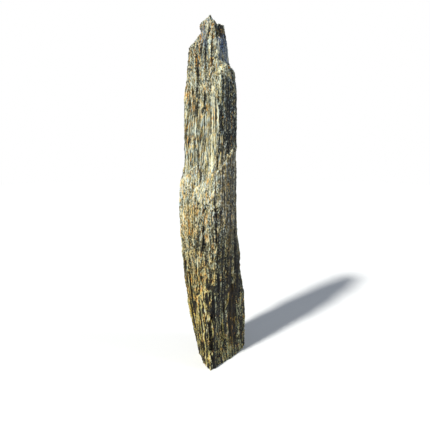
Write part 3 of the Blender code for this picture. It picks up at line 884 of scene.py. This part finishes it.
def split_gneiss(settings):
    """Banded gneiss, split by hand along and across its sheets and weathered outdoors.

    The broken ends of the sheets give the eye thin upright lines of cream feldspar and dark mica, the
    cleavage faces a dark, faintly shining grey, and the iron in the mica stains the pale bands ochre.
    Its colours also carry painted light and shade from the stone's attributes, and a painted reflection
    of the sky on the bare mica faces.
    """
    material = bpy.data.materials.new("split_gneiss")
    material.use_nodes = True
    tree = material.node_tree
    shader = tree.nodes["Principled BSDF"]
    grain = add_node(tree, "ShaderNodeAttribute", "Vector", attribute_name="grain")
    pattern = add_node(tree, "ShaderNodeAttribute", "Vector", attribute_name="pattern")
    weather_and_light = add_node(tree, "ShaderNodeAttribute", "Color", attribute_name="weather_and_light")
    split, vein, slate_sky_sheen, pull, ribs_share = (
        add_node(tree, "ShaderNodeAttribute", "Fac", attribute_name=name)
        for name in ("split", "vein", "slate_sky_sheen", "pull", "ribs")
    )
    bands_share, contrast, middle = (
        add_node(tree, "ShaderNodeSeparateXYZ", axis, {"Vector": pattern}) for axis in "XYZ"
    )
    noises = {}
    for name, *sizes, detail in PATTERNS:
        scale = tuple(1 / (size * MM) for size in sizes)
        place = add_node(tree, "ShaderNodeMapping", "Vector", {"Vector": grain, "Scale": scale})
        inputs = {"Vector": place, "Scale": 1.0, "Detail": detail, "Roughness": PATTERN_ROUGHNESS}
        noises[name] = add_node(tree, "ShaderNodeTexNoise", "Fac", inputs)

    scale = tuple(1 / (size * MM) for size in GRAINS)
    place = add_node(tree, "ShaderNodeMapping", "Vector", {"Vector": grain, "Scale": scale})
    grains = add_node(tree, "ShaderNodeTexVoronoi", "Color", {"Vector": place, "Scale": 1.0})
    inputs = {"Value": grains, "To Min": 0.5 - GRAIN_RANGE / 2, "To Max": 0.5 + GRAIN_RANGE / 2}
    crumbs = add_node(tree, "ShaderNodeMapRange", "Result", inputs)
    inputs = {"Factor_Float": THREADS_SHARE, "A_Float": crumbs, "B_Float": noises["threads"]}
    short = add_node(tree, "ShaderNodeMix", "Result_Float", inputs)
    inputs = {"Factor_Float": split, "A_Float": noises["bands"], "B_Float": noises["flutes"]}
    long = add_node(tree, "ShaderNodeMix", "Result_Float", inputs)
    inputs = {"Factor_Float": bands_share, "A_Float": short, "B_Float": long}
    fine = add_node(tree, "ShaderNodeMix", "Result_Float", inputs)
    inputs = {"Factor_Float": ribs_share, "A_Float": fine, "B_Float": noises["ribs"]}
    mixed = add_node(tree, "ShaderNodeMix", "Result_Float", inputs)
    inputs = {"Value": mixed, "Value_001": 0.5}
    centred = add_node(tree, "ShaderNodeMath", "Value", inputs, operation="SUBTRACT")
    inputs = {"Value": centred, "Value_001": contrast, "Value_002": middle}
    level = add_node(tree, "ShaderNodeMath", "Value", inputs, operation="MULTIPLY_ADD", use_clamp=True)
    broken, cleaved, stained, painted_sky_colour = (
        add_node(
            tree, "ShaderNodeValToRGB", "Color", {"Fac": level},
            stops=[(place, getattr(settings, mineral) * bright) for place, mineral, bright in colours],
        )
        for colours in (BROKEN_COLOURS, CLEAVED_COLOURS, STAINED_COLOURS, SLATE_SKY_SHEEN_COLOURS)
    )
    tinted = add_node(tree, "ShaderNodeValToRGB", "Color", {"Fac": noises["tint"]}, stops=TINTS)
    inputs = {"Value": noises["iron"], "Value_001": pull}
    rusting = add_node(tree, "ShaderNodeMath", "Value", inputs, operation="ADD")
    inputs = {"Value": rusting, "From Min": RUST_RANGE[0], "From Max": RUST_RANGE[1], "To Max": RUST_COVER}
    rusty = add_node(tree, "ShaderNodeMapRange", "Result", inputs, interpolation_type="SMOOTHSTEP")
    inputs = {"Value": level, "From Min": QUARTZ_RANGE[0], "From Max": QUARTZ_RANGE[1]}
    pale = add_node(tree, "ShaderNodeMapRange", "Result", inputs)
    inputs = {"Value": pale, "Value_001": vein}
    glint = add_node(tree, "ShaderNodeMath", "Value", inputs, operation="MULTIPLY", use_clamp=True)
    colour = broken
    for share, last, mode in (
        (split, cleaved, "MIX"),
        # Weathering and painted light and shade, multiplied in.
        (1.0, weather_and_light, "MULTIPLY"),
        # The painted reflection of the sky on the bare mica faces.
        (slate_sky_sheen, painted_sky_colour, "MIX"),
        (rusty, stained, "MIX"),
        (1.0, tinted, "MULTIPLY"),
        (glint, settings.quartz, "MIX"),
    ):
        inputs = {"Factor_Float": share, "A_Color": colour, "B_Color": last}
        colour = add_node(tree, "ShaderNodeMix", "Result_Color", inputs, data_type="RGBA", blend_type=mode)
    tree.links.new(colour, shader.inputs["Base Color"])
    inputs = {
        "Value": level,
        "From Min": SHEEN_RANGE[0], "From Max": SHEEN_RANGE[1],
        "To Min": SHEEN_ROUGHNESS[0], "To Max": SHEEN_ROUGHNESS[1],
    }
    rough = add_node(tree, "ShaderNodeMapRange", "Result", inputs)
    tree.links.new(rough, shader.inputs["Roughness"])
    shader.inputs["Specular IOR Level"].default_value = SPECULAR_LEVEL
    inputs = {"Value": crumbs, "Value_001": noises["threads"]}
    grit = add_node(tree, "ShaderNodeMath", "Value", inputs, operation="ADD")
    inputs = {"Height": grit, "Strength": 1.0, "Distance": GRIT_DEPTH * MM}
    bump = add_node(tree, "ShaderNodeBump", "Normal", inputs)
    tree.links.new(bump, shader.inputs["Normal"])
    return material


class OBJECT_OT_gneiss_column(bpy.types.Operator):
    """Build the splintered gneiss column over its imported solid"""

    bl_idname = "object.gneiss_column"
    bl_label = "Gneiss Column"

    def execute(self, context):
        settings = context.scene.gneiss_stone
        surface = rough_surface(settings)
        drop_crumbs(surface)
        sculpt(surface, settings.relief)
        surface = thinned(surface, TRIANGLES)
        keep_inside(surface)
        saw_foot(surface)
        data = bpy.data.meshes.new("split_stone")
        surface.to_mesh(data)
        surface.free()
        data.materials.append(split_gneiss(settings))
        data.shade_smooth()
        stone = bpy.data.objects.new("split_stone", data)
        context.scene.collection.objects.link(stone)
        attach(stone, BODY)
        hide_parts(NODE)
        return {"FINISHED"}


class OBJECT_OT_gneiss_stage(bpy.types.Operator):
    """Set the pale floor, the lights and the camera round the stone"""

    bl_idname = "object.gneiss_stage"
    bl_label = "Stage"

    def execute(self, context):
        settings = context.scene.gneiss_stage
        mesh = bmesh.new()
        bmesh.ops.create_circle(mesh, cap_ends=True, segments=FLOOR_SIDES, radius=settings.floor_size / 2)
        data = bpy.data.meshes.new("floor")
        mesh.to_mesh(data)
        mesh.free()
        floor = bpy.data.objects.new("floor", data)
        context.scene.collection.objects.link(floor)
        material = bpy.data.materials.new("pale_matt_floor")
        material.use_nodes = True
        shader = material.node_tree.nodes["Principled BSDF"]
        shader.inputs["Base Color"].default_value = (*settings.floor_colour, 1)
        shader.inputs["Roughness"].default_value = FLOOR_ROUGHNESS
        data.materials.append(material)

        for name, direction, strength, angle, colour in (
            ("key", KEY_DIRECTION, settings.key_strength, KEY_ANGLE, KEY_COLOUR),
            ("side", SIDE_DIRECTION, settings.side_strength, SIDE_ANGLE, SIDE_COLOUR),
        ):
            light = bpy.data.lights.new(name, "SUN")
            light.energy = strength
            light.angle = angle
            light.color = colour
            lamp = bpy.data.objects.new(name, light)
            lamp.location = Vector((0, 0, STONE_HEIGHT / 2)) + direction * LAMP_DISTANCE
            lamp.rotation_euler = direction.to_track_quat("Z", "Y").to_euler()
            context.scene.collection.objects.link(lamp)

        world = bpy.data.worlds.new("pale_room")
        world.use_nodes = True
        tree = world.node_tree
        sky = tree.nodes["Background"]
        sky.inputs["Color"].default_value = ROOM_COLOUR
        sky.inputs["Strength"].default_value = settings.fill
        inputs = {"Color": PAPER_WHITE, "Strength": 1.0}
        paper = add_node(tree, "ShaderNodeBackground", "Background", inputs)
        seen = add_node(tree, "ShaderNodeLightPath", "Is Camera Ray")
        inputs = {"Fac": seen, "Shader": sky.outputs["Background"], "Shader_001": paper}
        both = add_node(tree, "ShaderNodeMixShader", "Shader", inputs)
        tree.links.new(both, tree.nodes["World Output"].inputs["Surface"])
        context.scene.world = world

        lens = bpy.data.cameras.new("camera")
        lens.sensor_width = SENSOR_WIDTH
        lens.lens = CAMERA_LENS
        lens.clip_start = CAMERA_NEAR
        camera = bpy.data.objects.new("camera", lens)
        camera.location = CAMERA_PLACE
        camera.rotation_euler = (math.pi / 2 - CAMERA_DROP, 0, 0)
        context.scene.collection.objects.link(camera)
        context.scene.camera = camera
        context.scene.view_settings.view_transform = "Standard"
        return {"FINISHED"}


class VIEW3D_PT_gneiss_stone(bpy.types.Panel):
    """The stone's pieces and its stage"""

    bl_label = "Gneiss Stone"
    bl_idname = "VIEW3D_PT_gneiss_stone"
    bl_space_type = "VIEW_3D"
    bl_region_type = "UI"
    bl_category = "Stone"

    def draw(self, context):
        for settings, operator in (
            (context.scene.gneiss_stone, OBJECT_OT_gneiss_column),
            (context.scene.gneiss_stage, OBJECT_OT_gneiss_stage),
        ):
            box = self.layout.box()
            for name in settings.__annotations__:
                box.prop(settings, name)
            box.operator(operator.bl_idname)


CLASSES = (
    StoneSettings,
    StageSettings,
    OBJECT_OT_gneiss_column,
    OBJECT_OT_gneiss_stage,
    VIEW3D_PT_gneiss_stone,
)


def register():
    for entry in CLASSES:
        bpy.utils.register_class(entry)
    bpy.types.Scene.gneiss_stone = bpy.props.PointerProperty(type=StoneSettings)
    bpy.types.Scene.gneiss_stage = bpy.props.PointerProperty(type=StageSettings)


def unregister():
    del bpy.types.Scene.gneiss_stage
    del bpy.types.Scene.gneiss_stone
    for entry in reversed(CLASSES):
        bpy.utils.unregister_class(entry)


def main():
    register()
    bpy.ops.object.gneiss_column()
    bpy.ops.object.gneiss_stage()


if __name__ == "__main__":
    main()
